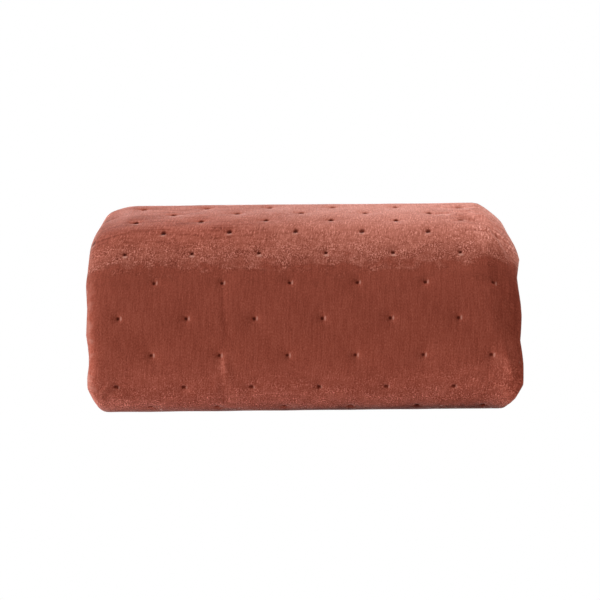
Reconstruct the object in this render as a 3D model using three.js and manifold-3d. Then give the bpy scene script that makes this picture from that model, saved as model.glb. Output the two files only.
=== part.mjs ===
// A folded plush blanket, quilted with small tied dimples.
// One cloth of two plush faces over a thin filling, hemmed all round. It is folded in half twice
// across its width, into a strip of four plies, and then in half three times along its length.
// Millimetres, +Z up. The origin is on the resting surface at the middle of the footprint.
// X runs from end to end of the bundle, and -Y is the front, the smooth outer fold.

import * as THREE from 'three';
import { mergeVertices } from 'three/addons/utils/BufferGeometryUtils.js';
import Module from 'manifold-3d';

// Driving dimensions
const BUNDLE_WIDTH = 448;
const BUNDLE_DEPTH = 270;
const PLY = 5;
const PLY_GAP = 1.1;
const HEM_ROUND = 1.5;
const DIMPLE_PITCH_X = 70.4;
const DIMPLE_PITCH_ALONG = 39;
const DIMPLE_RADIUS = 7;
const DIMPLE_DEPTH = 2.8;
const DIMPLE_SIDES = 6;
const DIMPLE_FREE_END = 16;

// The strip: four plies over each other, at offsets from the strip's middle
const PLIES = 4;
const PLY_PITCH = PLY + PLY_GAP;
const LAYER_PITCH = PLIES * PLY_PITCH;
const STRIP_HALF = (PLIES - 1) * PLY_PITCH / 2 + PLY / 2;
const OUTER_FOLD_RADIUS = 1.5 * PLY_PITCH;
const INNER_FOLD_RADIUS = 0.5 * PLY_PITCH;
const OUTER_FOLD_STEPS = 5;
const INNER_FOLD_STEPS = 4;
const END_X = BUNDLE_WIDTH / 2;
const FREE_EDGE_SHORT = 4;
const INNER_EDGE_SHORT = 9;

// The pile: eight layers of strip, counted from the bottom
const layerHeight = (layer) => STRIP_HALF + (layer - 1) * LAYER_PITCH;
const FRONT_Y = -BUNDLE_DEPTH / 2 + STRIP_HALF;
const BACK_Y = BUNDLE_DEPTH / 2 - STRIP_HALF;
const FIRST_END_Y = BACK_Y + 4;

// The strip's way through the pile, one row for each panel from fold to fold.
// layer: its place in the pile. foldY: how far the fold after it reaches, at the strip's middle.
// noseZ: the height of that furthest point. flats and steps: the facets along the panel and
// round the fold. The last panel has no fold after it and ends there.
const PANELS = [
  { layer: 4, foldY: FRONT_Y + 87, noseZ: layerHeight(4.5), flats: 1, steps: 8 },
  { layer: 5, foldY: BACK_Y, noseZ: layerHeight(6.5), flats: 1, steps: 12 },
  { layer: 8, foldY: FRONT_Y, noseZ: 80, flats: 3, steps: 18 },
  { layer: 1, foldY: BACK_Y - 8, noseZ: layerHeight(1.5), flats: 2, steps: 8 },
  { layer: 2, foldY: FRONT_Y + 28.5, noseZ: 85, flats: 1, steps: 14 },
  { layer: 7, foldY: BACK_Y - 27, noseZ: layerHeight(6.5), flats: 1, steps: 8 },
  { layer: 6, foldY: FRONT_Y + 57.5, noseZ: 91, flats: 1, steps: 10 },
  { layer: 3, foldY: BACK_Y - 2, noseZ: null, flats: 1, steps: 0 },
];
const OUTER_FOLD_PANEL = 2;

// How far the outer run reaches to each side. above: the length along the outer face, up from the
// furthest point of the front fold and then back over the top.
const REACHES = [
  { above: -117, left: 217, right: 213 },
  { above: -78, left: 220.5, right: 218 },
  { above: -46, left: 226.5, right: 224.5 },
  { above: -30, left: 226.3, right: 228 },
  { above: 0, left: 224.4, right: 226.2 },
  { above: 26, left: 227, right: 222.2 },
  { above: 58, left: 225.5, right: 227 },
  { above: 93, left: 227.5, right: 226 },
  { above: 130, left: 226.5, right: 231 },
  { above: 156, left: 227, right: 230 },
  { above: 234, left: 228, right: 227 },
  { above: 351, left: 226, right: 226 },
];
const HIDDEN_REACH = 221;
const HIDDEN_WAVE = 2.6;
const LEFT_WAVE = { length: 47, start: 0 };
const RIGHT_WAVE = { length: 31, start: 1.3 };

// Over this length at each end the pile slumps: its heights shrink by a share that grows evenly
// to the one given here at the very end. The creased end is at -X and the open one at +X.
const SLUMP_LENGTH = 30;
const SLUMP_X = END_X - SLUMP_LENGTH;
const CREASE_SLUMP = 0.06;
const OPEN_SLUMP = 0.115;

// The whole pile is a little uneven: the top rises to the open end and is crowned across the
// middle, and the foot stands further forward at the creased end
const PILE_HEIGHT = layerHeight(8) + STRIP_HALF;
const TOP_RISE = 0.011;
const CROWN = { height: 2.2, y: 12, halfWidth: 45 };
const FOOT_SKEW = 0.036;

// The dimples' columns lean: they drift to +X going up the front and over the top
const COLUMN_AT_LOWEST_ROW = -20;
const COLUMN_DRIFT = 17.5;
const COLUMN_DRIFT_LENGTH = 312;
const COLUMN_DRIFT_POWER = 1.6;
const ROWS_BELOW_NOSE = 2;
const ROWS_SHOWN = 13;
const COLUMNS_EACH_WAY = 3;

// The cloth's middle line across the strip, as points with x, n (the offset from the strip's
// middle) and the direction in which the cloth's outer face looks.
function acrossStrip() {
  const creaseX = -END_X + STRIP_HALF;
  const openX = END_X - INNER_FOLD_RADIUS - PLY / 2;
  const plyOffset = (ply) => (ply - (PLIES + 1) / 2) * PLY_PITCH;
  const points = [];

  const flat = (from, to, ply, look) => {
    const side = Math.sign(to - from);
    for (const x of [from, -side * SLUMP_X, side * SLUMP_X, to]) {
      points.push({ x, n: plyOffset(ply), lookX: 0, lookN: look });
    }
  };
  const fold = (x, n, radius, from, turn, steps, look) => {
    for (let i = 1; i < steps; i++) {
      const angle = from + turn * i / steps;
      const [cos, sin] = [Math.cos(angle), Math.sin(angle)];
      points.push({ x: x + radius * cos, n: n + radius * sin, lookX: look * cos, lookN: look * sin });
    }
  };

  flat(openX - FREE_EDGE_SHORT, creaseX, 1, -1);
  fold(creaseX, 0, OUTER_FOLD_RADIUS, -Math.PI / 2, -Math.PI, OUTER_FOLD_STEPS, 1);
  flat(creaseX, openX, 4, 1);
  fold(openX, PLY_PITCH, INNER_FOLD_RADIUS, Math.PI / 2, -Math.PI, INNER_FOLD_STEPS, 1);
  flat(openX, creaseX, 3, -1);
  fold(creaseX, 0, INNER_FOLD_RADIUS, Math.PI / 2, Math.PI, INNER_FOLD_STEPS, -1);
  flat(creaseX, openX - INNER_EDGE_SHORT, 2, 1);
  return points;
}

// The strip's middle line through the pile, as stations with y, z, the direction of its outer side
// and the length over that side so far.
function throughPile() {
  const stations = [];
  let along = 0;
  let y = FIRST_END_Y;

  const flatTo = (endY, z, travel, flats) => {
    for (let i = stations.length ? 1 : 0; i <= flats; i++) {
      const share = i / flats;
      stations.push({
        y: y + (endY - y) * share,
        z,
        sideY: 0,
        sideZ: -travel,
        along: along + Math.abs(endY - y) * share,
      });
    }
    along += Math.abs(endY - y);
    y = endY;
  };

  PANELS.forEach((panel, index) => {
    const travel = index % 2 ? 1 : -1;
    const z = layerHeight(panel.layer);
    if (!panel.steps) {
      flatTo(panel.foldY, z, travel, panel.flats);
      return;
    }
    const nextZ = layerHeight(PANELS[index + 1].layer);
    const rise = Math.sign(nextZ - z);
    const radii = [Math.abs(panel.noseZ - z), Math.abs(nextZ - panel.noseZ)];
    flatTo(panel.foldY - travel * radii[0], z, travel, panel.flats);
    for (let i = 1; i <= panel.steps; i++) {
      const turn = Math.PI * i / panel.steps;
      const radius = i * 2 <= panel.steps ? radii[0] : radii[1];
      along += (radius + rise * travel * STRIP_HALF) * Math.PI / panel.steps;
      stations.push({
        y: panel.foldY - travel * radius * (1 - Math.sin(turn)),
        z: panel.noseZ - rise * radius * Math.cos(turn),
        sideY: rise * Math.sin(turn),
        sideZ: -travel * Math.cos(turn),
        along,
        nose: index === OUTER_FOLD_PANEL && i * 2 === panel.steps,
      });
    }
    y = stations.at(-1).y;
  });

  const noseAlong = stations.find((station) => station.nose).along;
  for (const station of stations) {
    station.above = noseAlong - station.along;
    station.reach = reachAt(station.above);
  }
  return stations;
}

// The reach to each side, from the table on the outer run and in slow waves inside the pile
function reachAt(above) {
  if (above < REACHES[0].above || above > REACHES.at(-1).above) {
    const wave = ({ length, start }) => HIDDEN_REACH + HIDDEN_WAVE * Math.sin(above / length + start);
    return { left: wave(LEFT_WAVE), right: wave(RIGHT_WAVE) };
  }
  const next = Math.max(1, REACHES.findIndex((row) => row.above >= above));
  const [low, high] = [REACHES[next - 1], REACHES[next]];
  const share = (above - low.above) / (high.above - low.above);
  return {
    left: THREE.MathUtils.lerp(low.left, high.left, share),
    right: THREE.MathUtils.lerp(low.right, high.right, share),
  };
}

// The pile's unevenness, which moves all its layers together
function uneven(x, y, z) {
  const lift = z / PILE_HEIGHT;
  const fromCrown = (y - CROWN.y) / CROWN.halfWidth;
  const crown = CROWN.height * lift ** 3 * Math.exp(-(fromCrown ** 2));
  return new THREE.Vector3(
    x,
    y + FOOT_SKEW * x * (1 - lift) ** 4,
    z + TOP_RISE * x * lift ** 2 + crown,
  );
}

// A point of the strip's section (x, n), carried to a station of the pile, drawn out to its reach
// there and slumped
function place(x, n, station) {
  const reach = x < 0 ? station.reach.left : station.reach.right;
  const past = Math.max(0, Math.abs(x) - SLUMP_X) * (reach - SLUMP_X) / SLUMP_LENGTH;
  const shrink = (x < 0 ? CREASE_SLUMP : OPEN_SLUMP) * past / SLUMP_LENGTH;
  return uneven(
    THREE.MathUtils.clamp(x, -SLUMP_X, SLUMP_X) + Math.sign(x) * past,
    station.y + n * station.sideY,
    (station.z + n * station.sideZ) * (1 - shrink),
  );
}

// The cloth: the band round the four plies, swept along the stations and closed at both cut ends
function foldedCloth(stations) {
  const middle = acrossStrip();
  const face = (side) => middle.map((p) => [
    p.x + side * p.lookX * PLY / 2,
    p.n + side * p.lookN * PLY / 2,
  ]);
  const first = middle[0];
  const last = middle.at(-1);
  const outer = face(1);
  const inner = face(-1).reverse();
  const band = [
    ...outer,
    [last.x + HEM_ROUND, last.n],
    ...inner,
    [first.x + HEM_ROUND, first.n],
  ];

  const count = band.length;
  const plyCount = middle.length;
  const positions = stations.flatMap((station) => (
    band.flatMap(([x, n]) => place(x, n, station).toArray())
  ));
  const triangles = [];
  const quad = (a, b, c, d) => triangles.push(a, b, c, a, c, d);
  for (let s = 0; s + 1 < stations.length; s++) {
    for (let k = 0; k < count; k++) {
      const next = (k + 1) % count;
      quad(s * count + k, (s + 1) * count + k, (s + 1) * count + next, s * count + next);
    }
  }
  const farInner = (k) => 2 * plyCount - k;
  for (const [start, flip] of [[0, false], [(stations.length - 1) * count, true]]) {
    const capQuad = (a, b, c, d) => (flip ? quad(d, c, b, a) : quad(a, b, c, d));
    for (let k = 0; k + 1 < plyCount; k++) {
      capQuad(start + k, start + k + 1, start + farInner(k + 1), start + farInner(k));
    }
    const hems = [
      [plyCount - 1, plyCount, plyCount + 1],
      [2 * plyCount, 2 * plyCount + 1, 0],
    ];
    for (const hem of hems) {
      const corners = hem.map((k) => start + k);
      triangles.push(...(flip ? corners.reverse() : corners));
    }
  }

  const geometry = new THREE.BufferGeometry();
  geometry.setAttribute('position', new THREE.Float32BufferAttribute(positions, 3));
  geometry.setIndex(triangles);
  return geometry;
}

// The outer face's point and normal at x and at a length above the front fold's furthest point
function outerFace(x, above, stations) {
  const after = stations.findIndex((station) => station.above <= above);
  const [before, station] = [stations[after - 1], stations[after]];
  const share = (before.above - above) / (before.above - station.above);
  const at = (shift) => (
    place(x + shift, STRIP_HALF, before).lerp(place(x + shift, STRIP_HALF, station), share)
  );
  const across = at(1).sub(at(-1));
  const down = place(x, STRIP_HALF, station).sub(place(x, STRIP_HALF, before));
  return { point: at(0), normal: down.cross(across).normalize() };
}

// The dimples' places on the outer run, in rows with every second row set between the others.
// The rows go from the foot of the front fold up, over the top and down the back fold.
function dimplePlaces(stations) {
  const places = [];
  for (let row = 0; row < ROWS_SHOWN; row++) {
    const climb = row * DIMPLE_PITCH_ALONG;
    const drift = COLUMN_DRIFT * Math.min(1, climb / COLUMN_DRIFT_LENGTH) ** COLUMN_DRIFT_POWER;
    const middle = COLUMN_AT_LOWEST_ROW + drift + (row % 2 ? DIMPLE_PITCH_X / 2 : 0);
    for (let column = -COLUMNS_EACH_WAY; column <= COLUMNS_EACH_WAY; column++) {
      const x = middle + column * DIMPLE_PITCH_X;
      if (Math.abs(x) > END_X - DIMPLE_FREE_END) continue;
      places.push(outerFace(x, climb - ROWS_BELOW_NOSE * DIMPLE_PITCH_ALONG, stations));
    }
  }
  return places;
}

// The cutter of one dimple: a cone whose point lies in the cloth and whose rim is on its face
function dimpleCone({ point, normal }) {
  const clear = DIMPLE_DEPTH / 2;
  const height = DIMPLE_DEPTH + clear;
  const cone = new THREE.ConeGeometry(DIMPLE_RADIUS * height / DIMPLE_DEPTH, height, DIMPLE_SIDES);
  cone.translate(0, DIMPLE_DEPTH - height / 2, 0);
  const inward = normal.clone().negate();
  cone.applyQuaternion(new THREE.Quaternion().setFromUnitVectors(new THREE.Vector3(0, 1, 0), inward));
  cone.translate(point.x, point.y, point.z);
  return cone;
}

const MERGE_DISTANCE = 1e-4;
const wasm = await Module();
wasm.setup();

function toSolid(geometry) {
  geometry.deleteAttribute('normal');
  geometry.deleteAttribute('uv');
  const merged = mergeVertices(geometry, MERGE_DISTANCE);
  return new wasm.Manifold(new wasm.Mesh({
    numProp: 3,
    vertProperties: new Float32Array(merged.attributes.position.array),
    triVerts: new Uint32Array(merged.index.array),
  }));
}

function toGeometry(solid) {
  const mesh = solid.getMesh();
  const geometry = new THREE.BufferGeometry();
  geometry.setAttribute('position', new THREE.BufferAttribute(mesh.vertProperties, mesh.numProp));
  geometry.setIndex(new THREE.BufferAttribute(mesh.triVerts, 1));
  geometry.computeVertexNormals();
  return geometry;
}

const stations = throughPile();
let cloth = toSolid(foldedCloth(stations));
for (const dimple of dimplePlaces(stations)) {
  cloth = cloth.subtract(toSolid(dimpleCone(dimple)));
}

const blanket = new THREE.Mesh(
  toGeometry(cloth),
  new THREE.MeshStandardMaterial({ name: 'fabric', color: 0x9a4a3a, roughness: 0.95, metalness: 0 }),
);
blanket.name = 'blanket';

const part = new THREE.Group();
part.add(blanket);

export default part;
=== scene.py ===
# A plush blanket in terracotta, quilted with small tied dimples and folded into a thick bundle.
# Sizes are in metres, and in the material in mm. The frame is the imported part's: X from end to end,
# -Y the front, +Z up.

import math

import bpy
import numpy as np
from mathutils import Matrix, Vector


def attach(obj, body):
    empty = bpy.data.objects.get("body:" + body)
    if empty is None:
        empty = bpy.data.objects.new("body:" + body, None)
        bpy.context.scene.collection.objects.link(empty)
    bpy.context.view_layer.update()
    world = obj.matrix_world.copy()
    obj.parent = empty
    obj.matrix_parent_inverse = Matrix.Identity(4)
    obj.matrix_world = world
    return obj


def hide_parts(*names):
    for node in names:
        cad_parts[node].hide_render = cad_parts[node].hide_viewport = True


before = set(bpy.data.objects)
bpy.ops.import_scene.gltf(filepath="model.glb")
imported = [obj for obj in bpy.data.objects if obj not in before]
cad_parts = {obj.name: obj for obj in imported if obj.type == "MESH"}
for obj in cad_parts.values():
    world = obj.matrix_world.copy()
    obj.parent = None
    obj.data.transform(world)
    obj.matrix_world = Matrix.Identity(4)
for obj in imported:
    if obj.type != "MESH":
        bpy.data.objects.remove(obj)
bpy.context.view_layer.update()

# The camera
# A long lens from straight in front and a little above, as for a shop picture. It is placed from
# the furthest point of the front fold, which shows below the middle of the frame.

CAMERA_LENS = 120.0
SENSOR_WIDTH = 36.0
CAMERA_ELEVATION = math.radians(14.0)
FOLD_DISTANCE = 2.068
FOLD_FRONT_Y = -0.135
FOLD_HEIGHT = 0.080
FOLD_BELOW_AXIS = 0.0573
FOLD_RIGHT_OF_AXIS = 0.0041

forward = Vector((0.0, math.cos(CAMERA_ELEVATION), -math.sin(CAMERA_ELEVATION)))
upward = Vector((0.0, math.sin(CAMERA_ELEVATION), math.cos(CAMERA_ELEVATION)))
fold_front = Vector((0.0, FOLD_FRONT_Y, FOLD_HEIGHT))

camera_data = bpy.data.cameras.new("camera")
camera_data.lens = CAMERA_LENS
camera_data.sensor_width = SENSOR_WIDTH
camera = bpy.data.objects.new("camera", camera_data)
camera.location = (
    fold_front
    - forward * FOLD_DISTANCE
    + upward * FOLD_BELOW_AXIS
    - Vector((FOLD_RIGHT_OF_AXIS, 0.0, 0.0))
)
camera.rotation_euler = forward.to_track_quat("-Z", "Y").to_euler()
bpy.context.collection.objects.link(camera)
bpy.context.scene.camera = camera

# The blanket
# One cloth of two velvety plush faces over a thin filling, hemmed all round and tied through at
# small dimples. It is folded in half twice across its width into a strip of four plies, and in
# half three times along its length, so that the last fold wraps the whole front.

BUNDLE_WIDTH = 0.448
BUNDLE_DEPTH = 0.270
PLY = 0.005
PLY_PITCH = 0.0061
LAYER_PITCH = 4 * PLY_PITCH
STRIP_HALF = 1.5 * PLY_PITCH + PLY / 2
END_X = BUNDLE_WIDTH / 2
FRONT_Y = -BUNDLE_DEPTH / 2 + STRIP_HALF
BACK_Y = BUNDLE_DEPTH / 2 - STRIP_HALF
CREASE_X = -END_X + STRIP_HALF
OPEN_X = END_X - PLY_PITCH / 2 - PLY / 2
FREE_EDGE_SHORT = 0.004
INNER_EDGE_SHORT = 0.009


def layer_height(layer):
    """The middle of a strip layer, counted from the bottom one."""
    return STRIP_HALF + (layer - 1) * LAYER_PITCH


# One row for each panel of the strip: its layer, how far the fold after it reaches, and the
# height of that furthest point. The last panel ends without a fold.
PANELS = [
    (4, FRONT_Y + 0.087, layer_height(4.5)),
    (5, BACK_Y, layer_height(6.5)),
    (8, FRONT_Y, FOLD_HEIGHT),
    (1, BACK_Y - 0.008, layer_height(1.5)),
    (2, FRONT_Y + 0.0285, 0.085),
    (7, BACK_Y - 0.027, layer_height(6.5)),
    (6, FRONT_Y + 0.0575, 0.091),
    (3, BACK_Y - 0.002, None),
]
WRAPPING_PANEL = 2
FIRST_END_Y = BACK_Y + 0.004


class Path:
    """A plane path of straight and round stretches, each with a length and a curvature."""

    LEAST_CURVATURE = 1e-9

    def __init__(self, point, heading):
        self.ends = [0.0]
        self.points = [point]
        self.headings = [heading]
        self.curvatures = []

    def add(self, length, curvature=0.0):
        point, heading = self.follow(len(self.curvatures), np.array([length]), curvature)
        self.curvatures.append(curvature)
        self.ends.append(self.ends[-1] + length)
        self.points.append(point[0])
        self.headings.append(heading[0])

    def follow(self, stretch, past, curvature):
        """Past the start of a stretch the heading is h = h0 + curvature * past, and the point moves
        by (sin h - sin h0, cos h0 - cos h) / curvature, or straight on where it has none."""
        start = np.array(self.points)[stretch]
        first = np.array(self.headings)[stretch]
        heading = first + curvature * past
        straight = np.abs(curvature) < self.LEAST_CURVATURE
        bend = np.where(straight, 1.0, curvature)
        turned = np.stack([np.sin(heading) - np.sin(first), np.cos(first) - np.cos(heading)], -1)
        ahead = np.stack([np.cos(heading), np.sin(heading)], -1) * past[..., None]
        round_step = turned / bend[..., None]
        return start + np.where(straight[..., None], ahead, round_step), heading

    def at(self, lengths):
        """Points and headings at an array of lengths along the path."""
        last = len(self.curvatures) - 1
        stretch = np.clip(np.searchsorted(self.ends, lengths, side="right") - 1, 0, last)
        past = lengths - np.array(self.ends)[stretch]
        return self.follow(stretch, past, np.array(self.curvatures)[stretch])


def path_through_pile():
    """The strip's middle line in (y, z), with two quarter turns at each fold."""
    path = Path(np.array([FIRST_END_Y, layer_height(PANELS[0][0])]), math.pi)
    for number, (_, fold_y, nose_z) in enumerate(PANELS):
        y, z = path.points[-1]
        travel = 1 if number % 2 else -1
        if nose_z is None:
            path.add(abs(fold_y - y))
            break
        rise = math.copysign(1, nose_z - z)
        first = abs(nose_z - z)
        second = abs(layer_height(PANELS[number + 1][0]) - nose_z)
        path.add(abs(fold_y - travel * first - y))
        path.add(first * math.pi / 2, travel * rise / first)
        if number == WRAPPING_PANEL:
            path.nose = len(path.curvatures)
        path.add(second * math.pi / 2, travel * rise / second)
    return path


def path_across_strip():
    """The cloth's middle line in (x, n), where n is the offset from the strip's middle."""
    outer, inner = 1.5 * PLY_PITCH, 0.5 * PLY_PITCH
    flat = OPEN_X - CREASE_X
    path = Path(np.array([OPEN_X - FREE_EDGE_SHORT, -outer]), math.pi)
    path.add(flat - FREE_EDGE_SHORT)
    path.add(outer * math.pi, -1 / outer)
    path.add(flat)
    path.add(inner * math.pi, -1 / inner)
    path.add(flat)
    path.add(inner * math.pi, 1 / inner)
    path.add(flat - INNER_EDGE_SHORT)
    return path


pile = path_through_pile()
strip = path_across_strip()
SHOWN_PLY = 2

# Lengths over the strip's outer face, and how far each is above the furthest point of the front
# fold. The outer run goes from there down to the foot, and up over the top to the back fold.
outer_ends = np.cumsum([0.0, *np.diff(pile.ends) * (1 + np.array(pile.curvatures) * STRIP_HALF)])
nose_length = outer_ends[pile.nose]


def above_at(lengths):
    return nose_length - np.interp(lengths, pile.ends, outer_ends)


def length_at(above):
    return np.interp(nose_length - above, outer_ends, pile.ends)


# The ties stand in staggered rows 39 mm apart, about 70 mm apart along a row. Their columns drift a
# little towards the open end on the way up the front and over the top.
TIE_ACROSS = 0.0704
TIE_ALONG = 0.039
LOWEST_ROW = -2
HIGHEST_ROW = 11
COLUMN_AT_LOWEST_ROW = -0.020
COLUMN_DRIFT = 0.0175
COLUMN_DRIFT_LENGTH = 0.312
COLUMN_DRIFT_POWER = 1.6


def column_at(above):
    """Where the middle column stands: x0 + drift * (climb / length) ** power."""
    climb = np.clip((above - LOWEST_ROW * TIE_ALONG) / COLUMN_DRIFT_LENGTH, 0, 1)
    return COLUMN_AT_LOWEST_ROW + COLUMN_DRIFT * climb ** COLUMN_DRIFT_POWER


# Grid lines that agree in this many digits are one line, and lines that are added to others keep
# this far away from them. The last value keeps a rounding error from adding a step.
LINE_DIGITS = 7
LINES_CLEAR = 0.002
ROUNDING = 1e-6


def lattice_lines(first, last, pitch, steps):
    """Lines through every tie from first to last, crowded round each at the given distances."""
    steps = np.array(steps)
    around = np.concatenate([-steps, [0], steps, [pitch / 2]])
    lines = (np.arange(first, last + 1)[:, None] * pitch + around).ravel()
    return np.unique(np.round(lines, LINE_DIGITS))


def plain_lines(path, stretches, turn_step, places=(), flat_step=1.0):
    """Lines along the given stretches of a path, at even turns where it is round. A flat one has
    them at even steps, and where it passes the given places of the first coordinate."""
    lines = []
    for stretch in stretches:
        start, end = path.ends[stretch], path.ends[stretch + 1]
        curvature = path.curvatures[stretch]
        step = turn_step / abs(curvature) if curvature else flat_step
        count = max(1, math.ceil((end - start) / step - ROUNDING))
        lines.append(start + (end - start) * np.arange(count + 1) / count)
        if not curvature:
            onward = math.cos(path.headings[stretch])
            passed = start + (np.array(places) - path.points[stretch][0]) / onward
            lines.append(passed[(passed > start + LINES_CLEAR) & (passed < end - LINES_CLEAR)])
    return np.unique(np.round(np.concatenate(lines), LINE_DIGITS))


# The grid has lines this far from a tie along and across the cloth, and from a free edge. Where the
# strip runs inside the pile, they follow from turns of this much and steps of this length.
ROW_STEPS = (0.0015, 0.003, 0.005, 0.008, 0.0125)
COLUMN_STEPS = (0.0015, 0.003, 0.005, 0.008, 0.012)
EDGE_STEPS = np.array([0.0005, 0.0015, 0.003])
INSIDE_TURN = math.radians(12)
INSIDE_STEP = 0.032

run = lattice_lines(LOWEST_ROW - 1, HIGHEST_ROW + 1, TIE_ALONG, ROW_STEPS)
run = np.sort(length_at(run))
rest = plain_lines(pile, range(len(pile.curvatures)), INSIDE_TURN, flat_step=INSIDE_STEP)
rest = rest[(rest < run[0] - LINES_CLEAR) | (rest > run[-1] + LINES_CLEAR)]
rows = np.sort(np.concatenate([run, rest, EDGE_STEPS, pile.ends[-1] - EDGE_STEPS]))
above = above_at(rows)

# The lines of the ply that shows follow the tie columns. Near both ends they are drawn together.
LINES_FROM, LINES_TO = -0.222, 0.228
EVEN_FROM, EVEN_TO = -0.206, 0.210
END_LINES = [-0.2185, -0.2140, 0.2150, 0.2203, 0.2252]
FIRST_COLUMN, LAST_COLUMN = -6, 7
COLUMN_MIDDLE = COLUMN_AT_LOWEST_ROW + COLUMN_DRIFT / 2
columns = COLUMN_MIDDLE + lattice_lines(FIRST_COLUMN, LAST_COLUMN, TIE_ACROSS / 2, COLUMN_STEPS)
columns = columns[(columns > LINES_FROM) & (columns < LINES_TO)]
columns = np.sort(np.concatenate([[LINES_FROM], columns, END_LINES, [LINES_TO]]))

shown_x = np.empty((len(rows), len(columns)))
for number, shift in enumerate(column_at(above) - COLUMN_MIDDLE):
    shown_x[number] = np.interp(
        columns,
        [LINES_FROM, EVEN_FROM - shift, EVEN_TO - shift, LINES_TO],
        [CREASE_X, EVEN_FROM, EVEN_TO, OPEN_X],
    )
shown = strip.ends[SHOWN_PLY] + shown_x - CREASE_X

# The hidden plies have fewer lines. The outer side has those of its hidden plies before and after
# the one that shows, and the inner side has its own all the way.
HIDDEN_PLACES = (-0.214, -0.206, -0.199, -0.192, -0.100, 0.0, 0.100, 0.192, 0.199, 0.206, 0.213)
PLIES_BEFORE, PLIES_AFTER, ALL_PLIES = [0, 1], [3, 4, 5, 6], range(7)
TURN_BEFORE, TURN_AFTER, INNER_TURN = math.radians(15), math.radians(20), math.radians(22.5)

before = plain_lines(strip, PLIES_BEFORE, TURN_BEFORE, HIDDEN_PLACES)[:-1]
after = plain_lines(strip, PLIES_AFTER, TURN_AFTER, HIDDEN_PLACES)[1:]
before = np.sort(np.concatenate([before, EDGE_STEPS]))
after = np.sort(np.concatenate([after, strip.ends[-1] - EDGE_STEPS]))


def on_all_rows(lines):
    return np.broadcast_to(lines, (len(rows), len(lines)))


outer_lines = np.hstack([on_all_rows(before), shown, on_all_rows(after)])
inner_lines = plain_lines(strip, ALL_PLIES, INNER_TURN, HIDDEN_PLACES)
inner_lines = np.sort(np.concatenate([inner_lines, EDGE_STEPS, strip.ends[-1] - EDGE_STEPS]))
inner_lines = on_all_rows(inner_lines[::-1])
lines = np.hstack([outer_lines, inner_lines])
faces = np.hstack([np.ones_like(outer_lines), -np.ones_like(inner_lines)])

# How far the outer run reaches to each side, from its height above the front fold's furthest
# point. Inside the pile the reach goes in slow waves.
REACHES = np.array([
    (-0.117, 0.2170, 0.2130),
    (-0.078, 0.2205, 0.2185),
    (-0.060, 0.2235, 0.2240),
    (-0.046, 0.2265, 0.2265),
    (-0.030, 0.2263, 0.2297),
    (-0.012, 0.2244, 0.2284),
    (0.000, 0.2244, 0.2275),
    (0.014, 0.2255, 0.2256),
    (0.026, 0.2270, 0.2236),
    (0.058, 0.2255, 0.2262),
    (0.074, 0.2262, 0.2262),
    (0.093, 0.2275, 0.2252),
    (0.108, 0.2268, 0.2248),
    (0.130, 0.2272, 0.2277),
    (0.156, 0.2282, 0.2310),
    (0.195, 0.2290, 0.2305),
    (0.234, 0.2280, 0.2270),
    (0.351, 0.2260, 0.2260),
])
HIDDEN_REACH = 0.221
HIDDEN_WAVE = 0.0026
HIDDEN_WAVES = ((0.047, 0.0), (0.031, 1.3))
BLEND_LENGTH = 0.012


def reaches():
    """The reach of each row to the left and right: the table, blended where the strip goes inside
    into reach + wave * sin(above / length + start)."""
    inside = np.maximum(REACHES[0, 0] - above, above - REACHES[-1, 0])
    share = np.clip(inside / BLEND_LENGTH, 0, 1)
    both = []
    for side, (length, start) in enumerate(HIDDEN_WAVES, 1):
        shown_reach = np.interp(above, REACHES[:, 0], REACHES[:, side])
        hidden_reach = HIDDEN_REACH + HIDDEN_WAVE * np.sin(above / length + start)
        both.append((1 - share) * shown_reach + share * hidden_reach)
    return both


# Near both ends the pile slumps: its heights shrink by a share that grows to these at the end
SLUMP_LENGTH = 0.030
SLUMP_X = END_X - SLUMP_LENGTH
SLUMP_POWER = 1.3
CREASE_SLUMP = 0.045
OPEN_SLUMP = 0.115

# The cloth dips at each tie, is puffed up between the ties, and has a few soft creases on the
# outer run. A crease runs from one place to another, and is a trough where its depth is positive.
TIE_DEPTH = 0.0024
TIE_RADIUS = 0.0034
PUCKER_DEPTH = 0.0005
PUCKER_RADIUS = 0.0085
PUFF = 0.00025
RUMPLE = 0.0016
RUMPLED_FROM, RUMPLED_TO = (0.155, 0.130), (0.215, 0.265)
RUMPLE_SLANTS, RUMPLE_LENGTHS = (0.9, 0.4), (0.0036, 0.0062)
CREASE_FADE = 0.7
CREASES = [
    # from x, above, to x, above, depth, half-width
    (-0.0845, 0.092, -0.0805, 0.012, 0.0006, 0.0030),
    (-0.0825, 0.001, -0.0800, -0.032, -0.0011, 0.0024),
    (-0.0860, -0.028, -0.0800, -0.068, 0.0007, 0.0035),
    (-0.1930, -0.034, -0.2090, -0.056, 0.0014, 0.0019),
    (-0.1960, -0.027, -0.2120, -0.047, -0.0008, 0.0022),
    (0.1650, 0.222, 0.1980, 0.165, 0.0022, 0.0028),
    (0.1780, 0.240, 0.2080, 0.185, -0.0022, 0.0038),
    (0.1830, 0.205, 0.2120, 0.130, 0.0024, 0.0034),
    (0.1950, 0.168, 0.2140, 0.102, -0.0022, 0.0038),
    (0.1700, 0.164, 0.2030, 0.148, 0.0020, 0.0028),
    (0.1440, 0.269, 0.1880, 0.264, 0.0018, 0.0048),
    (0.1380, 0.226, 0.1640, 0.231, 0.0022, 0.0045),
    (0.1640, 0.241, 0.2060, 0.226, 0.0024, 0.0048),
    (0.1780, 0.198, 0.2100, 0.186, 0.0024, 0.0045),
    (0.1980, 0.088, 0.2150, 0.030, 0.0014, 0.0028),
    (0.2050, 0.020, 0.2160, -0.030, -0.0012, 0.0030),
]


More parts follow.
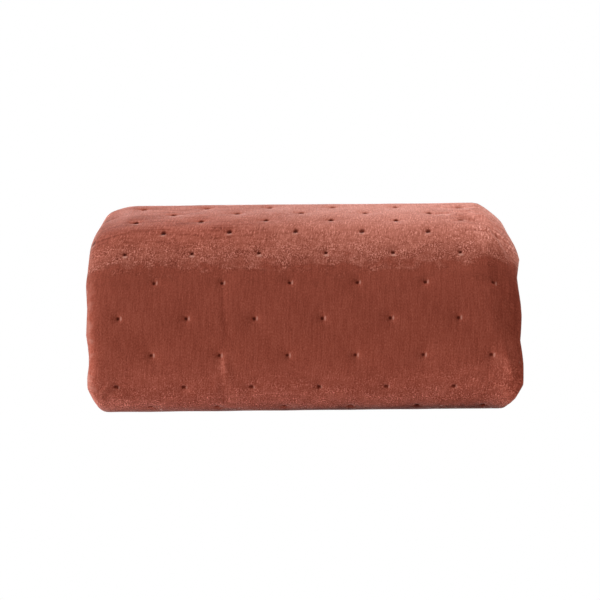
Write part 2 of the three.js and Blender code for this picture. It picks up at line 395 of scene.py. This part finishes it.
def tie_distance(x, rise):
    """The distance to the nearest tie, from the lattice u = x / half a tie spacing, v = rise / one
    row, where a tie stands at each whole a = (u + v) / 2 and b = (u - v) / 2."""
    u = (x - column_at(rise)) / (TIE_ACROSS / 2)
    v = rise / TIE_ALONG
    a, b = (u + v) / 2, (u - v) / 2
    near_a, near_b = a - np.round(a), b - np.round(b)
    return np.hypot((near_a + near_b) * TIE_ACROSS / 2, (near_a - near_b) * TIE_ALONG), a, b


def relief(x, rise):
    """The height of the outer face over its plain shape: dips of depth / (1 + (r / r0)^2)^2 at the
    ties, puffs as the sum of squared sines of a and b, crossed waves over the rumpled corner, and
    the creases as bell-shaped troughs."""
    distance, a, b = tie_distance(x, rise)
    height = -TIE_DEPTH / (1 + (distance / TIE_RADIUS) ** 2) ** 2
    height -= PUCKER_DEPTH * np.exp(-(distance / PUCKER_RADIUS) ** 2)
    height += PUFF * (np.sin(math.pi * a) ** 2 + np.sin(math.pi * b) ** 2)
    across = np.clip((x - RUMPLED_FROM[0]) / (RUMPLED_TO[0] - RUMPLED_FROM[0]), 0, 1)
    along = np.clip((rise - RUMPLED_FROM[1]) / (RUMPLED_TO[1] - RUMPLED_FROM[1]), 0, 1)
    waves = np.sin((rise + RUMPLE_SLANTS[0] * x) / RUMPLE_LENGTHS[0])
    waves = waves * np.sin((x - RUMPLE_SLANTS[1] * rise) / RUMPLE_LENGTHS[1])
    height += RUMPLE * waves * np.sin(math.pi * along) * np.sin(math.pi / 2 * across)
    for x0, rise0, x1, rise1, depth, half_width in CREASES:
        span = np.array([x1 - x0, rise1 - rise0])
        length = np.hypot(*span)
        ahead = ((x - x0) * span[0] + (rise - rise0) * span[1]) / length
        off = ((x - x0) * span[1] - (rise - rise0) * span[0]) / length
        fade = np.clip(ahead / length, 0, 1)
        fade = np.where((ahead > 0) & (ahead < length), np.sin(math.pi * fade) ** CREASE_FADE, 0)
        height -= depth * fade * np.exp(-(off / half_width) ** 2)
    return height


# A free edge is rounded off over this length, down to this share of the cloth's thickness
EDGE_ROUND = 0.003
EDGE_SHARE = 0.3


def rounded_edge(inwards):
    """The cloth's thickness as a share, rounded off near a free edge: a quarter ellipse."""
    near = np.clip(inwards / EDGE_ROUND, 0, 1)
    return EDGE_SHARE + (1 - EDGE_SHARE) * np.sqrt(1 - (1 - near) ** 2)


# The pile isn't quite straight. Slow waves push its layers together, each with how far it pushes
# and the length and start of its two factors. The top also swells in its middle and rises to the
# right, and the foot is turned a little towards the back at the right.
PILE_HEIGHT = 0.194
SIDE_WAVES = (0.0009, 0.021, 0.6, 0.060, 0.0)
DEPTH_WAVES = (0.0012, 0.067, 0.4, 0.045, 0.3)
HEIGHT_WAVES = (0.0009, 0.058, 1.9, 0.070, math.pi / 2)
SWELL, SWELL_Y, SWELL_HALF_DEPTH = 0.0022, 0.012, 0.045
TOP_SLOPE, TOP_SINK = 0.011, 0.0003
FOOT_TURN = 0.036


def crossed(waves, first, second):
    """push * sin(first / length + start) * sin(second / length + start)"""
    push, first_length, first_start, second_length, second_start = waves
    turned = np.sin(first / first_length + first_start)
    return push * turned * np.sin(second / second_length + second_start)


def unevenness(point):
    """The point moved by the crossed waves, by the swell push * lift^3 * exp(-(y / half)^2), by the
    top's slope, which grows with lift^2, and by the foot's turn, which goes with (1 - lift)^4. Lift
    is the height as a share of the pile's."""
    x, y, z = point
    lift = z / PILE_HEIGHT
    x += crossed(SIDE_WAVES, z, y)
    y += crossed(DEPTH_WAVES, x, z) * lift
    z += crossed(HEIGHT_WAVES, x, y) * lift
    z += SWELL * lift ** 3 * np.exp(-((y - SWELL_Y) / SWELL_HALF_DEPTH) ** 2)
    z += lift ** 2 * (TOP_SLOPE * x - TOP_SINK)
    y += FOOT_TURN * x * (1 - lift) ** 4
    return np.stack([x, y, z], -1)


# The relief ends just past the run's last rows of ties, and fades out at the two ends. A free edge
# runs in two waves of its own: how far, over what length and from what start.
RUN_MARGIN = 0.99 * TIE_ALONG
RELIEF_FADE = 0.004
EDGE_WAVES = ((0.0012, 0.019, 0.0), (0.0010, 0.0083, 1.0))
EDGE_WAVE_REACH = 0.012


def folded_cloth():
    """All points of the band round the cloth, row by row: the strip's section point (x, n) at the
    row's place (y, z), with the section's n turned to the outer side (sin h, -cos h)."""
    centre, turn = pile.at(rows)
    (x, n), look = np.moveaxis(strip.at(lines)[0], -1, 0), strip.at(lines)[1]
    edge = np.minimum(lines, strip.ends[-1] - lines)
    half = PLY / 2 * rounded_edge(edge) * rounded_edge(np.minimum(rows, rows[-1] - rows))[:, None]

    rise = np.broadcast_to(above[:, None], x.shape)
    showing = (lines > strip.ends[SHOWN_PLY]) & (lines < strip.ends[SHOWN_PLY + 1]) & (faces > 0)
    showing &= rise > LOWEST_ROW * TIE_ALONG - RUN_MARGIN
    showing &= rise < HIGHEST_ROW * TIE_ALONG + RUN_MARGIN
    surface = np.where(showing, relief(x, rise), 0)
    near_end = np.minimum(x - CREASE_X, OPEN_X - x)
    surface = surface * np.clip(near_end / RELIEF_FADE, 0, 1)
    out = faces * half + surface

    wave = sum(push * np.sin(rise / length + start) for push, length, start in EDGE_WAVES)
    x = x + wave * np.exp(-edge / EDGE_WAVE_REACH) - out * np.sin(look)
    n = n + out * np.cos(look)

    left, right = reaches()
    reach = np.where(x < 0, left[:, None], right[:, None])
    past = np.maximum(0, np.abs(x) - SLUMP_X) * (reach - SLUMP_X) / SLUMP_LENGTH
    slump = np.where(x < 0, CREASE_SLUMP, OPEN_SLUMP) * (past / SLUMP_LENGTH) ** SLUMP_POWER
    x = np.clip(x, -SLUMP_X, SLUMP_X) + np.sign(x) * past
    y = centre[:, :1] + n * np.sin(turn)[:, None]
    z = (centre[:, 1:] - n * np.cos(turn)[:, None]) * (1 - slump)
    return unevenness((x, y, z))


def zipped(first, second, first_at, second_at):
    """Triangles of the narrow strip between two rows of points, taken in the order of their
    lengths along the strip."""
    i = j = 0
    triangles = []
    while i + 1 < len(first) or j + 1 < len(second):
        first_is_next = i + 1 < len(first) and (
            j + 1 == len(second) or first_at[i + 1] <= second_at[j + 1]
        )
        if first_is_next:
            triangles.append((first[i], first[i + 1], second[j]))
            i += 1
        else:
            triangles.append((first[i], second[j + 1], second[j]))
            j += 1
    return np.array(triangles)


def closed_tube(row_count, line_count, outer_count):
    """Triangles of a grid that closes on itself round each row, with both end rows zipped up
    between their outer and inner lines."""
    index = np.arange(row_count * line_count).reshape(row_count, line_count)
    beside = np.roll(index, -1, axis=1)
    a, b, c, d = index[:-1], index[1:], beside[1:], beside[:-1]
    split = np.concatenate([np.stack([a, b, c], -1), np.stack([a, c, d], -1)]).reshape(-1, 3)
    caps = []
    for row, flip in ((0, True), (row_count - 1, False)):
        outer, inner = index[row, :outer_count], index[row, outer_count:][::-1]
        cap = zipped(outer, inner, lines[row, :outer_count], lines[row, outer_count:][::-1])
        caps.append(cap[:, ::-1] if flip else cap)
    return np.concatenate([split, *caps])


points = folded_cloth()
triangles = closed_tube(len(rows), lines.shape[1], outer_lines.shape[1])
flat_points = points.reshape(-1, 3)

mesh = bpy.data.meshes.new("blanket_plush")
mesh.from_pydata(flat_points.tolist(), [], triangles.tolist())
mesh.shade_smooth()

# The map runs over the cloth with a tie at each whole (u + v) / 2 and (u - v) / 2
quilt_u = (lines - strip.ends[SHOWN_PLY] + CREASE_X - column_at(above)[:, None]) / (TIE_ACROSS / 2)
quilt_v = np.broadcast_to(above[:, None] / TIE_ALONG, lines.shape)
quilt = np.stack([quilt_u, quilt_v], -1).reshape(-1, 2)
corners = np.empty(len(mesh.loops), dtype=np.int32)
mesh.loops.foreach_get("vertex_index", corners)
quilt_map = mesh.uv_layers.new(name="quilt")
quilt_map.data.foreach_set("uv", quilt[corners].ravel().astype(np.float32))

blanket = bpy.data.objects.new("blanket_plush", mesh)
bpy.context.collection.objects.link(blanket)

# The plush
# A short velvety pile. It lies down over the front, which looks dark, and stands towards the
# light on top, with a worn and grainy belt between where it turns over. The top's lightness is
# partly painted sheen.

plush = bpy.data.materials.new("terracotta_plush")
plush.use_nodes = True
tree = plush.node_tree
shader = tree.nodes["Principled BSDF"]

# One step of the map in mm: half a tie spacing across, and one row along
COLUMN_MM = TIE_ACROSS / 2 * 1000
ROW_MM = TIE_ALONG * 1000


def node(kind, values=None, **settings):
    """A node with the given settings, and its sockets set to values or linked to other nodes."""
    made = tree.nodes.new(kind)
    for name, setting in settings.items():
        setattr(made, name, setting)
    for socket, value in (values or {}).items():
        if isinstance(value, bpy.types.NodeSocket):
            tree.links.new(value, made.inputs[socket])
        else:
            made.inputs[socket].default_value = value
    return made


def maths(operation, *values):
    return node("ShaderNodeMath", dict(enumerate(values)), operation=operation).outputs[0]


def plus(first, second):
    return maths("ADD", first, second)


def minus(first, second):
    return maths("SUBTRACT", first, second)


def times(first, *others):
    """The product of all the values."""
    for other in others:
        first = maths("MULTIPLY", first, other)
    return first


def changed(value, share, amount):
    """value * (1 + share * amount), which falls where the amount is below 0."""
    return times(value, plus(1.0, times(share, amount)))


def around_one(field, amount):
    """1 + amount * (2 * field - 1)"""
    return plus(1.0, times(amount, minus(times(field, 2.0), 1.0)))


def distance(x, y):
    return maths("SQRT", plus(times(x, x), times(y, y)))


def between(value, low, high):
    """0 at low, 1 at high, smooth between."""
    made = node(
        "ShaderNodeMapRange",
        {"Value": value, "From Min": low, "From Max": high},
        interpolation_type="SMOOTHSTEP",
    )
    return made.outputs["Result"]


def within(value, first, second):
    """The product of two such fades, each from 0 at its first value to 1 at its second."""
    return times(between(value, *first), between(value, *second))


def along_table(value, table):
    """The colour at each value, straight between the rows (value, colour) of a table."""
    first, last = table[0][0], table[-1][0]
    made = node("ShaderNodeValToRGB", {"Fac": maths("DIVIDE", minus(value, first), last - first)})
    elements = made.color_ramp.elements
    while len(elements) < len(table):
        elements.new(0.5)
    for element, (place, colour) in zip(elements, table):
        element.position = (place - first) / (last - first)
        element.color = (*colour, 1.0)
    return made.outputs["Color"]


def greys(table):
    """The same table with each number as a grey."""
    return [(place, (grey, grey, grey)) for place, grey in table]


def mixed(share, first, second, blend="MIX"):
    """Two colours mixed. The colour sockets of a mix node are its inputs 6 and 7 and output 2."""
    made = node("ShaderNodeMix", data_type="RGBA", blend_type=blend)
    for socket, value in ((made.inputs[0], share), (made.inputs[6], first), (made.inputs[7], second)):
        if isinstance(value, bpy.types.NodeSocket):
            tree.links.new(value, socket)
        else:
            socket.default_value = value
    return made.outputs[2]


def grain(across, along, detail=2.0, roughness=0.5):
    """Noise with grains of the given size in mm across and along the cloth, about 0.5 all in all."""
    place = node("ShaderNodeCombineXYZ", {
        "X": times(map_u, COLUMN_MM / across),
        "Y": times(map_v, ROW_MM / along),
    })
    made = node(
        "ShaderNodeTexNoise",
        {"Vector": place.outputs[0], "Scale": 1.0, "Detail": detail, "Roughness": roughness},
        noise_dimensions="2D",
    )
    return made.outputs["Fac"]


def blotches(across, along, low, high, detail=1.0, roughness=0.5):
    """Grain that is 0 up to the low level of its noise, and 1 from the high level."""
    return between(grain(across, along, detail, roughness), low, high)


def uneven(value, across, along, amount):
    """value + amount * (noise - 0.5), with grains of the given size in mm."""
    return plus(value, times(minus(grain(across, along), 0.5), amount))


quilt_place = node("ShaderNodeSeparateXYZ", {
    "Vector": node("ShaderNodeUVMap", uv_map="quilt").outputs["UV"],
})
map_u, map_v = quilt_place.outputs["X"], quilt_place.outputs["Y"]
object_place = node("ShaderNodeSeparateXYZ", {"Vector": node("ShaderNodeTexCoord").outputs["Object"]})
x_mm = times(object_place.outputs["X"], 1000)
rise_mm = times(map_v, ROW_MM)

# The parts of the run that shows, each fading in from its first value to its second. Heights are
# in mm above the front fold's furthest point, and the ply's ends are in steps of the map.
RUN_TOP, RUN_FOOT = (470, 400), (-150, -120)
PLY_LEFT, PLY_RIGHT = (-6.6, -5.9), (7.2, 6.5)
TOP, FAR_TOP, FOOT = (88, 125), (115, 165), (-18, -34)
BELT_FRONT, BELT_BACK = (95, 110), (150, 130)

on_ply = within(map_u, PLY_LEFT, PLY_RIGHT)
in_sight = times(within(rise_mm, RUN_TOP, RUN_FOOT), on_ply)
on_top = between(rise_mm, *TOP)
far_top = between(rise_mm, *FAR_TOP)
at_foot = between(rise_mm, *FOOT)
on_belt = within(rise_mm, BELT_FRONT, BELT_BACK)

# The place beside the nearest tie, and its distance, both in mm. A tie's pit looks longer on the
# far top, and larger on top and at the foot.
LONGER_ON_FAR_TOP = 0.5
LARGER_ON_TOP, LARGER_AT_FOOT = 0.2, 0.34
LARGER_UP_TO = (360, 280)

tie_a = times(plus(map_u, map_v), 0.5)
tie_b = times(minus(map_u, map_v), 0.5)
near_a = minus(tie_a, maths("ROUND", tie_a))
near_b = minus(tie_b, maths("ROUND", tie_b))
off_x = times(plus(near_a, near_b), COLUMN_MM)
off_y = times(minus(near_a, near_b), ROW_MM)
larger = times(plus(on_top, far_top), LARGER_ON_TOP, between(rise_mm, *LARGER_UP_TO))
larger = plus(larger, times(at_foot, LARGER_AT_FOOT))
tie_mm = changed(distance(off_x, changed(off_y, far_top, -LONGER_ON_FAR_TOP)), larger, -1.0)

# Beside each tie a highlight is painted on the wall of its pit that faces the light: to the right
# on the front, and towards the front on top. The lip's places and sizes are in mm, its edges in
# shares of its size.
LIP_TO_RIGHT, LIP_TO_FRONT = 3.0, 6.5
LIP_HALF_WIDTH, LIP_WIDER_ON_TOP, LIP_HALF_LENGTH = 1.1, 3.0, 2.8
LIP_EDGE, LIP_FULL = 1.3, 0.3
LIP_UP_TO = (330, 190)
LIP_MIX, LIP_MORE_ON_BELT, LIP_LESS_AT_FOOT = 0.48, 0.27, 0.14
LIP_HIGHLIGHT_COLOUR = (0.52, 0.235, 0.175, 1.0)

lip_x = minus(off_x, times(minus(1.0, on_top), LIP_TO_RIGHT))
lip_x = maths("DIVIDE", lip_x, plus(LIP_HALF_WIDTH, times(on_top, LIP_WIDER_ON_TOP)))
lip_y = maths("DIVIDE", plus(off_y, times(on_top, LIP_TO_FRONT)), LIP_HALF_LENGTH)
painted_lip_highlight = between(distance(lip_x, lip_y), LIP_EDGE, LIP_FULL)
painted_lip_highlight = times(painted_lip_highlight, between(rise_mm, *LIP_UP_TO), in_sight)
lip_highlight_mix = plus(LIP_MIX, times(on_belt, LIP_MORE_ON_BELT))
lip_highlight_mix = minus(lip_highlight_mix, times(at_foot, LIP_LESS_AT_FOOT))

# The grain: fine hair all over, tufts where the pile stands open, and slower unevenness
fine = grain(1.1, 2.0, detail=1.0)
short_tufts = blotches(1.5, 2.4, 0.30, 0.70, detail=2.0, roughness=0.7)
long_tufts = blotches(1.7, 7.0, 0.30, 0.70, detail=2.0, roughness=0.7)
tufts = plus(times(short_tufts, minus(1.0, far_top)), times(long_tufts, far_top))
patches = blotches(16.0, 12.0, 0.35, 0.65)
pebbles = blotches(6.0, 5.5, 0.35, 0.65, detail=2.0)
# The next two place only painted shade: dark lines in the wrinkles and puckers on top
wrinkle_shade_lines = blotches(48.0, 6.0, 0.30, 0.55)
pucker_shade_lines = blotches(24.0, 9.0, 0.28, 0.60, detail=2.0)
streaks = blotches(2.6, 22.0, 0.35, 0.65)
broad = grain(45.0, 60.0, detail=1.0)

# The colour by height is partly the pile's nap and partly painted light: painted sheen on the light
# top, which is seen at a grazing angle, and painted light from the floor at the lighter foot.
NAP_AND_PAINTED_LIGHT = [
    # mm above the front fold's furthest point, and the colour there
    (-156, (0.330, 0.085, 0.054)),
    (-70, (0.470, 0.114, 0.071)),
    (-45, (0.374, 0.086, 0.053)),
    (-15, (0.298, 0.063, 0.037)),
    (10, (0.285, 0.058, 0.033)),
    (60, (0.278, 0.056, 0.032)),
    (94, (0.248, 0.050, 0.028)),
    (106, (0.316, 0.082, 0.052)),
    (130, (0.402, 0.118, 0.078)),
    (180, (0.494, 0.162, 0.114)),
    (260, (0.590, 0.220, 0.165)),
    (350, (0.558, 0.205, 0.152)),
    (440, (0.380, 0.110, 0.074)),
]
TUFT_SHOW = [
    # mm above, and how much the tufts show
    (-156, 0.10),
    (-70, 0.45),
    (-38, 0.30),
    (-10, 0.10),
    (86, 0.06),
    (104, 0.48),
    (130, 0.46),
    (165, 0.22),
    (350, 0.05),
    (440, 0.14),
]
RAISED = [
    # mm from the middle where the belt's edge starts to rise, where it is highest, and by how much
    (190, 226, 16.0),
    (70, 150, 6.0),
]
BELT_UNEVEN_BY = 45

uneven_rise = uneven(rise_mm, 16.0, 10.0, BELT_UNEVEN_BY)
for start, end, rise in RAISED:
    uneven_rise = minus(uneven_rise, times(between(x_mm, start, end), rise))
nap_and_painted_light = along_table(uneven_rise, NAP_AND_PAINTED_LIGHT)
tuft_show = along_table(uneven_rise, greys(TUFT_SHOW))

# The shade starts with the grain. Flecks of the tufts are lighter than their gaps are dark.
FLECK_LIGHT, GAP_SHADE = 1.7, 0.55
LEAST_PATCH, PATCH_RANGE = 0.55, 0.9
FINE_SHADE, FINE_LESS_ON_TOP = 0.30, 0.17
PEBBLE_SHADE, STREAK_SHADE, BROAD_SHADE = 0.20, 0.06, 0.07
RIB_MM, RIB_SHADE, RIB_WANDER = 2.6, 0.035, 30.0

patchy_show = times(tuft_show, plus(LEAST_PATCH, times(patches, PATCH_RANGE)))
shade = plus(1.0, times(minus(times(tufts, tufts, FLECK_LIGHT), GAP_SHADE), patchy_show))
shade = times(shade, around_one(fine, minus(FINE_SHADE, times(far_top, FINE_LESS_ON_TOP))))
shade = times(shade, around_one(pebbles, times(tuft_show, PEBBLE_SHADE)))
shade = times(shade, around_one(streaks, STREAK_SHADE))
rib_turn = plus(times(map_u, COLUMN_MM / RIB_MM * 2 * math.pi), times(broad, RIB_WANDER))
shade = changed(shade, maths("SINE", rib_turn), RIB_SHADE)
shade = times(shade, around_one(broad, BROAD_SHADE))

# Shade is painted into the pits of the ties. It fades towards the back, and hides in the rumpled
# corner.
PIT_EDGE, PIT_FLOOR = 2.5, 0.8
PIT_SHADE, PIT_MORE_ON_TOP = 0.62, 0.16
FADING, FADED = (190, 330), 0.6
CORNER, HIDDEN_IN_CORNER = (4.6, 5.4), 0.7
LIP_LIGHT = 0.12

in_corner = times(far_top, between(map_u, *CORNER))
tie_shows = minus(1.0, times(between(rise_mm, *FADING), FADED))
tie_shows = times(changed(tie_shows, in_corner, -HIDDEN_IN_CORNER), on_ply)
painted_pit_shade = times(between(tie_mm, PIT_EDGE, PIT_FLOOR), tie_shows)
shade = changed(shade, times(painted_pit_shade, plus(PIT_SHADE, times(on_top, PIT_MORE_ON_TOP))), -1.0)
# The lip: a painted highlight beside each tie
shade = changed(shade, painted_lip_highlight, LIP_LIGHT)

# The top is darker over its left, and lighter to the right. The table's values are halved in
# the colour ramp, which holds no more than 1, and doubled after it.
TOP_TONE_ACROSS = [
    # steps of the map from the middle column, and the share of lightness there
    (-6.6, 0.62),
    (-5.0, 0.78),
    (-1.0, 0.80),
    (0.3, 0.88),
    (1.4, 1.02),
    (4.5, 1.06),
    (6.0, 1.22),
]
TOP_TONE_ABOVE = (92, 165)
TOP_TONE_UNEVEN_BY = 3.0
LEFT_OF_MIDDLE = (0.0, -3.0)
WRINKLE_SHADE, PUCKER_SHADE = 0.26, 0.26
PUCKERED_FRONT, PUCKERED_BACK, PUCKERED_RIGHT = (130, 175), (320, 280), (110, 190)

uneven_u = uneven(map_u, 30.0, 30.0, TOP_TONE_UNEVEN_BY)
top_tone = times(along_table(uneven_u, greys([(u, light / 2) for u, light in TOP_TONE_ACROSS])), 2.0)
top_tone_share = times(between(rise_mm, *TOP_TONE_ABOVE), in_sight)
shade = changed(shade, top_tone_share, minus(top_tone, 1.0))
left_top = times(top_tone_share, between(uneven_u, *LEFT_OF_MIDDLE))
# Painted shade in the creases of the wrinkles over the left of the top, and of the puckers at its
# right
shade = changed(shade, times(left_top, minus(1.0, wrinkle_shade_lines)), -WRINKLE_SHADE)
right_top = times(within(rise_mm, PUCKERED_FRONT, PUCKERED_BACK), between(x_mm, *PUCKERED_RIGHT))
shade = changed(shade, times(right_top, minus(1.0, pucker_shade_lines)), -PUCKER_SHADE)

# Places where the pile was rubbed up and shows lighter, or pressed down and shows darker, and
# places of painted shade at the right end and along the foot
RUBBED_AND_SHADED = [
    # mm from the middle, mm above, half-width, half-length, how much lighter
    (-84, -11, 4, 13, 0.30),
    (-82, 20, 5, 50, -0.06),
    (-172, -72, 34, 16, 0.26),
    (-95, -76, 40, 12, 0.12),
    (-186, -48, 10, 12, -0.12),
    (60, -64, 60, 16, 0.10),
    (-30, -55, 80, 15, 0.13),
    (172, -57, 45, 14, -0.09),
    (140, -50, 22, 14, 0.14),
    (203, -8, 10, 12, 0.14),
    # the next five rows: painted shade at the right end, away from the light from the left
    (222, -34, 10, 22, -0.18),
    (208, 40, 14, 40, -0.07),
    (220, 62, 7, 42, -0.22),
    (223, -20, 8, 50, -0.18),
    (203, 94, 28, 27, -0.09),
    (190, 160, 16, 26, 0.16),
    (-214, 190, 24, 60, -0.16),
    # the next three rows: painted shade along the foot, where the cloth turns under
    (150, -92, 120, 18, -0.62),
    (20, -95, 60, 15, -0.45),
    (-80, -92, 14, 14, -0.35),
    (-206, -66, 24, 24, 0.16),
]
PATCH_EDGE = 1.6
RAGGED_BY = 18

ragged_x = uneven(x_mm, 9.0, 7.0, RAGGED_BY)
ragged_rise = uneven(rise_mm, 8.0, 8.0, RAGGED_BY)
for middle, height, half_width, half_length, lighter in RUBBED_AND_SHADED:
    aside = maths("DIVIDE", minus(ragged_x, middle), half_width)
    along = maths("DIVIDE", minus(ragged_rise, height), half_length)
    away = plus(times(aside, aside), times(along, along))
    shade = changed(shade, between(away, PATCH_EDGE, 0.0), lighter)

# A darker pile is also redder, as its green and blue fall faster, and so is the left of the top
GREEN_POWER, BLUE_POWER = 1.5, 1.75
LEFT_TOP_TINT = (1.0, 0.87, 0.83, 1.0)

tint = node("ShaderNodeCombineColor", {
    "Red": shade,
    "Green": maths("POWER", shade, GREEN_POWER),
    "Blue": maths("POWER", shade, BLUE_POWER),
}).outputs[0]
colour = mixed(1.0, nap_and_painted_light, tint, "MULTIPLY")
colour = mixed(left_top, colour, LEFT_TOP_TINT, "MULTIPLY")
# The lip's painted highlight is mixed into the colour
colour = mixed(times(painted_lip_highlight, lip_highlight_mix), colour, LIP_HIGHLIGHT_COLOUR)

# A pale pink highlight is painted where the cloth turns over its crease at the left end,
# stronger lower down: painted sheen of the light from the left on the edge of the pile.
TURNED_LEFT, TURNED_DOWN, RIM_HIGHLIGHT_MIX = (-217, -228), (130, -30), 0.45
RIM_HIGHLIGHT_COLOUR = (0.56, 0.25, 0.19, 1.0)

turned = times(between(ragged_x, *TURNED_LEFT), between(rise_mm, *TURNED_DOWN))
colour = mixed(times(turned, RIM_HIGHLIGHT_MIX), colour, RIM_HIGHLIGHT_COLOUR)
tree.links.new(colour, shader.inputs["Base Color"])

FINE_HEIGHT, TUFT_HEIGHT = 0.5, 2.0
pile_height = plus(times(fine, FINE_HEIGHT), times(tufts, times(tuft_show, TUFT_HEIGHT)))
bump = node("ShaderNodeBump", {"Height": pile_height, "Strength": 0.3, "Distance": 0.0012})
tree.links.new(bump.outputs["Normal"], shader.inputs["Normal"])
shader.inputs["Roughness"].default_value = 0.95
shader.inputs["Specular IOR Level"].default_value = 0.12
shader.inputs["Sheen Weight"].default_value = 0.62
shader.inputs["Sheen Roughness"].default_value = 0.22
shader.inputs["Sheen Tint"].default_value = (1.0, 0.58, 0.50, 1.0)
mesh.materials.append(plush)

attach(blanket, "root")
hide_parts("blanket")

# The floor and the light
# A plain floor that shows as white, with a large soft light over and a little behind the bundle, a
# weaker one from the left, and a dim one from in front.

FLOOR_HALF_WIDTH, FLOOR_FRONT, FLOOR_BACK = 12, -8, 16
FLOOR_CORNERS = [
    (-FLOOR_HALF_WIDTH, FLOOR_FRONT, 0),
    (FLOOR_HALF_WIDTH, FLOOR_FRONT, 0),
    (FLOOR_HALF_WIDTH, FLOOR_BACK, 0),
    (-FLOOR_HALF_WIDTH, FLOOR_BACK, 0),
]

floor_mesh = bpy.data.meshes.new("floor")
floor_mesh.from_pydata(FLOOR_CORNERS, [], [(0, 1, 2, 3)])
floor = bpy.data.objects.new("floor", floor_mesh)
bpy.context.collection.objects.link(floor)
white = bpy.data.materials.new("white_floor")
white.use_nodes = True
white_tree = white.node_tree
white_shader = white_tree.nodes["Principled BSDF"]
white_shader.inputs["Base Color"].default_value = (0.9, 0.9, 0.9, 1.0)
white_shader.inputs["Roughness"].default_value = 1.0
white_shader.inputs["Specular IOR Level"].default_value = 0.0
glow = white_tree.nodes.new("ShaderNodeEmission")
seen = white_tree.nodes.new("ShaderNodeLightPath")
blend = white_tree.nodes.new("ShaderNodeMixShader")
white_tree.links.new(seen.outputs["Is Camera Ray"], blend.inputs[0])
white_tree.links.new(white_shader.outputs[0], blend.inputs[1])
white_tree.links.new(glow.outputs[0], blend.inputs[2])
white_tree.links.new(blend.outputs[0], white_tree.nodes["Material Output"].inputs["Surface"])
floor_mesh.materials.append(white)

LIGHTS = [
    # name, place, aimed at, size, power in watts, colour
    ("overhead", (0.5, 0.6, 1.9), (0.1, 0.0, 0.1), 1.3, 32.0, (1.0, 1.0, 1.0)),
    ("left", (-3.6, -0.70, 0.35), (0.0, 0.0, 0.1), 0.8, 178.0, (0.82, 1.0, 1.10)),
    ("front", (-0.3, -3.0, 0.7), (0.0, 0.0, 0.1), 1.5, 14.5, (1.0, 1.0, 1.0)),
]
for name, place, target, size, power, tone in LIGHTS:
    light = bpy.data.lights.new(name, "AREA")
    light.size = size
    light.energy = power
    light.color = tone
    lamp = bpy.data.objects.new(name, light)
    lamp.location = place
    lamp.rotation_euler = (Vector(target) - Vector(place)).to_track_quat("-Z", "Y").to_euler()
    bpy.context.collection.objects.link(lamp)

world = bpy.data.worlds.new("studio")
world.use_nodes = True
sky = world.node_tree.nodes["Background"]
sky.inputs["Color"].default_value = (1.0, 1.0, 1.0, 1.0)
sky.inputs["Strength"].default_value = 0.25
bpy.context.scene.world = world
bpy.context.scene.view_settings.view_transform = "Standard"
